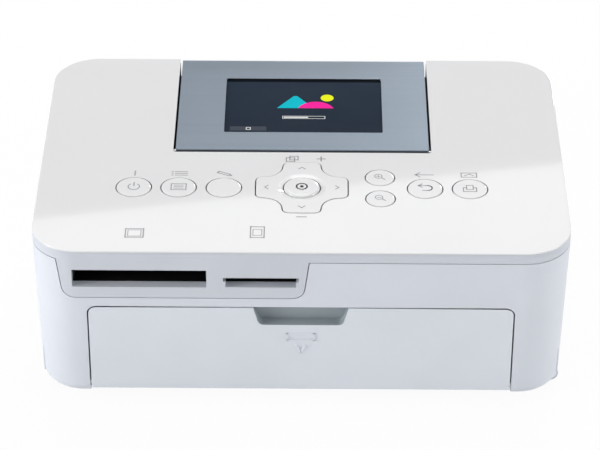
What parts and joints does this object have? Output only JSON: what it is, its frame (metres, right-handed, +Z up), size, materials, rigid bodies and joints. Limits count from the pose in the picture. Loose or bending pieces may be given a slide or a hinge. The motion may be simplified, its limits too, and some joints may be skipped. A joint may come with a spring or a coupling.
{
  "type": "compact photo printer",
  "caption": "Compact tabletop photo printer with a tilting display panel, round keys, card slots, a drop-down paper door and a side ribbon door over a roller and print head mechanism.",
  "frame": {"origin": "centre of the footprint, on the surface that the rubber feet stand on", "axes": "+X to the right seen from the front, +Y to the rear, +Z up"},
  "size_m": [0.178, 0.127, 0.061],
  "materials": {
    "case_plastic": "satin",
    "cover_gloss": "polished",
    "panel_silver": "brushed",
    "screen_glass": "polished",
    "dark_plastic": "satin",
    "key_plastic": "polished",
    "rubber": "matte",
    "steel": "satin",
    "aluminium": "satin",
    "gear_plastic": "satin",
    "brass": "satin",
    "circuit_board": "satin"
  },
  "bodies": {
    "printer_body": {"main_case": "case_plastic", "base_plate": "case_plastic", "rubber_feet": "rubber", "case_screws": "steel", "upper_case": "case_plastic", "top_fascia": "cover_gloss", "display_well": "dark_plastic", "lcd_hinge_brackets": "steel", "key_board": "circuit_board", "tact_switches": "dark_plastic", "paper_door_pins": "steel", "paper_door_catches": "steel", "ribbon_door_pin": "steel", "ribbon_bay_guide": "dark_plastic", "left_side_frame": "steel", "right_side_frame": "steel", "frame_crossbars": "steel", "roller_bushes": "gear_plastic", "feed_motor": "steel", "paper_guide": "dark_plastic", "main_board": "circuit_board", "card_connectors": "dark_plastic", "dc_jack": "dark_plastic", "usb_port": "steel"},
    "display_panel": {"lcd_bezel": "panel_silver", "lcd_window": "screen_glass", "lcd_display": "dark_plastic", "lcd_back_shell": "dark_plastic", "lcd_hinge_shaft": "steel"},
    "power_button": {"power_key": "key_plastic"},
    "menu_button": {"menu_key": "key_plastic"},
    "edit_button": {"edit_key": "key_plastic"},
    "back_button": {"back_key": "key_plastic"},
    "print_button": {"print_key": "key_plastic"},
    "zoom_in_button": {"zoom_in_key": "key_plastic"},
    "zoom_out_button": {"zoom_out_key": "key_plastic"},
    "nav_rocker": {"nav_collar": "rubber"},
    "nav_button": {"nav_pad": "key_plastic"},
    "ok_button": {"ok_key": "key_plastic"},
    "front_door": {"paper_door": "case_plastic"},
    "side_door": {"ribbon_door": "case_plastic"},
    "eject_slider": {"ribbon_eject_lever": "gear_plastic"},
    "print_head": {"thermal_head": "aluminium", "head_arms": "steel", "head_pivot_shaft": "steel"},
    "platen": {"platen_roller": "rubber", "platen_gear": "gear_plastic"},
    "capstan": {"capstan_roller": "steel", "capstan_gear": "gear_plastic"},
    "pinch": {"pinch_roller": "rubber"},
    "pickup": {"pickup_roller": "rubber", "pickup_gear": "gear_plastic"},
    "idler": {"idler_gear": "gear_plastic"},
    "motor_rotor": {"motor_pinion": "brass"},
    "takeup": {"takeup_hub": "gear_plastic"}
  },
  "joints": [
    {"name": "display_tilt", "type": "hinge", "parent": "printer_body", "child": "display_panel", "pos_m": [0, 0.0021, 0.0575], "axis": [1, 0, 0], "range_deg": [0, 45]},
    {"name": "power_press", "type": "slide", "parent": "printer_body", "child": "power_button", "axis": [0, 0, -1], "range_m": [0, 0.0006], "stiffness_N_per_m": 800},
    {"name": "menu_press", "type": "slide", "parent": "printer_body", "child": "menu_button", "axis": [0, 0, -1], "range_m": [0, 0.0006], "stiffness_N_per_m": 800},
    {"name": "edit_press", "type": "slide", "parent": "printer_body", "child": "edit_button", "axis": [0, 0, -1], "range_m": [0, 0.0006], "stiffness_N_per_m": 800},
    {"name": "back_press", "type": "slide", "parent": "printer_body", "child": "back_button", "axis": [0, 0, -1], "range_m": [0, 0.0006], "stiffness_N_per_m": 800},
    {"name": "print_press", "type": "slide", "parent": "printer_body", "child": "print_button", "axis": [0, 0, -1], "range_m": [0, 0.0006], "stiffness_N_per_m": 800},
    {"name": "zoom_in_press", "type": "slide", "parent": "printer_body", "child": "zoom_in_button", "axis": [0, 0, -1], "range_m": [0, 0.0006], "stiffness_N_per_m": 800},
    {"name": "zoom_out_press", "type": "slide", "parent": "printer_body", "child": "zoom_out_button", "axis": [0, 0, -1], "range_m": [0, 0.0006], "stiffness_N_per_m": 800},
    {"name": "nav_rock_x", "type": "hinge", "parent": "printer_body", "child": "nav_rocker", "pos_m": [0, -0.0246, 0.0578], "axis": [1, 0, 0], "range_deg": [-2.5, 2.5], "stiffness_Nm_per_rad": 0.05},
    {"name": "nav_rock_y", "type": "hinge", "parent": "nav_rocker", "child": "nav_button", "pos_m": [0, -0.0246, 0.0578], "axis": [0, 1, 0], "range_deg": [-2.5, 2.5], "stiffness_Nm_per_rad": 0.05},
    {"name": "ok_press", "type": "slide", "parent": "nav_button", "child": "ok_button", "axis": [0, 0, -1], "range_m": [0, 0.0006], "stiffness_N_per_m": 800},
    {"name": "paper_door_hinge", "type": "hinge", "parent": "printer_body", "child": "front_door", "pos_m": [0, -0.0604, 0.006], "axis": [1, 0, 0], "range_deg": [0, 90]},
    {"name": "ribbon_door_hinge", "type": "hinge", "parent": "printer_body", "child": "side_door", "pos_m": [0.0844, -0.0045, 0.004], "axis": [0, 1, 0], "range_deg": [0, 80]},
    {"name": "ribbon_eject_slide", "type": "slide", "parent": "printer_body", "child": "eject_slider", "axis": [0, 1, 0], "range_m": [0, 0.002], "stiffness_N_per_m": 200},
    {"name": "head_swing", "type": "hinge", "parent": "printer_body", "child": "print_head", "pos_m": [0, 0.05, 0.0476], "axis": [1, 0, 0], "range_deg": [0, 12.4]},
    {"name": "platen_turn", "type": "hinge", "parent": "printer_body", "child": "platen", "pos_m": [0, -0.00962, 0.02143], "axis": [1, 0, 0], "continuous": true},
    {"name": "capstan_turn", "type": "hinge", "parent": "printer_body", "child": "capstan", "pos_m": [0, 0.01, 0.0307], "axis": [1, 0, 0], "continuous": true},
    {"name": "pinch_turn", "type": "hinge", "parent": "printer_body", "child": "pinch", "pos_m": [0, 0.01, 0.0234], "axis": [1, 0, 0], "continuous": true},
    {"name": "pickup_turn", "type": "hinge", "parent": "printer_body", "child": "pickup", "pos_m": [0, -0.02529, 0.02244], "axis": [1, 0, 0], "continuous": true},
    {"name": "idler_turn", "type": "hinge", "parent": "printer_body", "child": "idler", "pos_m": [0, 0.0349, 0.0307], "axis": [1, 0, 0], "continuous": true},
    {"name": "motor_turn", "type": "hinge", "parent": "printer_body", "child": "motor_rotor", "pos_m": [0, 0.04505, 0.0162], "axis": [1, 0, 0], "continuous": true},
    {"name": "takeup_turn", "type": "hinge", "parent": "printer_body", "child": "takeup", "pos_m": [0, -0.03131, 0.03519], "axis": [1, 0, 0], "continuous": true}
  ],
  "couplings": [
    {"joint": "capstan_turn", "follows": "platen_turn", "ratio": -0.8},
    {"joint": "pinch_turn", "follows": "platen_turn", "ratio": 0.6},
    {"joint": "pickup_turn", "follows": "platen_turn", "ratio": -1.6},
    {"joint": "takeup_turn", "follows": "platen_turn", "ratio": 1.2},
    {"joint": "idler_turn", "follows": "platen_turn", "ratio": 0.75},
    {"joint": "motor_turn", "follows": "platen_turn", "ratio": -2}
  ]
}
